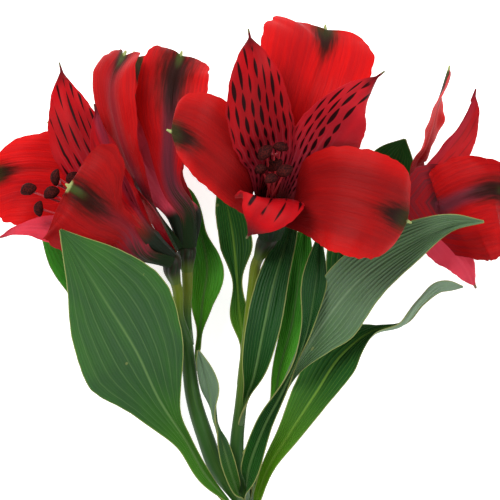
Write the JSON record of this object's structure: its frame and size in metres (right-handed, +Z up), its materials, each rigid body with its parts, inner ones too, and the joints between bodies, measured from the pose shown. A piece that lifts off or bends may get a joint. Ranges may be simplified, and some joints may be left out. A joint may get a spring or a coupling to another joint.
{
  "type": "alstroemeria stem",
  "caption": "Cut alstroemeria stem lying flat: slender stalk with twisted leaves, forking into short pedicels with open funnel blooms of broad plain outer and narrow streaked inner tepals.",
  "frame": {"origin": "centre of the bounding box in X and Y, at the height of the lowest point, on the surface that the cut stem lies on", "axes": "+Y along the stem from its cut end to the blooms, +X to the right of the picture, +Z up from the surface, towards the picture's camera"},
  "size_m": [0.1588, 0.2603, 0.0821],
  "materials": {
    "outer_tepals": "satin red petal with an olive-green tip and a darker midrib",
    "inner_tepals": "satin red petal with dark maroon streaks",
    "leaves": "ribbed green leaf, half matt",
    "stem": "smooth olive-green stalk",
    "ovaries": "ribbed green-black",
    "stamens": "red filaments with dark brown anthers"
  },
  "bodies": {
    "root": {"stem": "stem", "center_ovary": "ovaries", "center_stamens": "stamens", "center_tepal_top_outer": "outer_tepals", "center_tepal_left_outer": "outer_tepals", "center_tepal_right_outer": "outer_tepals", "center_tepal_left_inner": "inner_tepals", "center_tepal_right_inner": "inner_tepals", "center_tepal_bottom_inner": "inner_tepals", "left_ovary": "ovaries", "left_stamens": "stamens", "left_tepal_front_outer": "outer_tepals", "left_tepal_far_outer": "outer_tepals", "left_tepal_back_outer": "outer_tepals", "left_tepal_top_inner": "inner_tepals", "left_tepal_low_inner": "inner_tepals", "left_tepal_side_inner": "inner_tepals", "upright_ovary": "ovaries", "upright_stamens": "stamens", "upright_tepal_right_outer": "outer_tepals", "upright_tepal_left_outer": "outer_tepals", "upright_tepal_back_outer": "outer_tepals", "upright_tepal_left_inner": "inner_tepals", "upright_tepal_right_inner": "inner_tepals", "upright_tepal_back_inner": "inner_tepals", "right_ovary": "ovaries", "right_stamens": "stamens", "right_tepal_top_outer": "outer_tepals", "right_tepal_front_outer": "outer_tepals", "right_tepal_back_outer": "outer_tepals", "right_tepal_top_inner": "inner_tepals", "right_tepal_low_inner": "inner_tepals", "right_tepal_back_inner": "inner_tepals", "leaf_big_left": "leaves", "leaf_back_left": "leaves", "leaf_behind_upright": "leaves", "leaf_small_twisted": "leaves", "leaf_behind_center": "leaves", "leaf_center_dark": "leaves", "leaf_center_pale": "leaves", "leaf_right_of_center": "leaves", "leaf_big_right": "leaves", "leaf_low_right": "leaves", "leaf_behind_right": "leaves"}
  },
  "joints": []
}
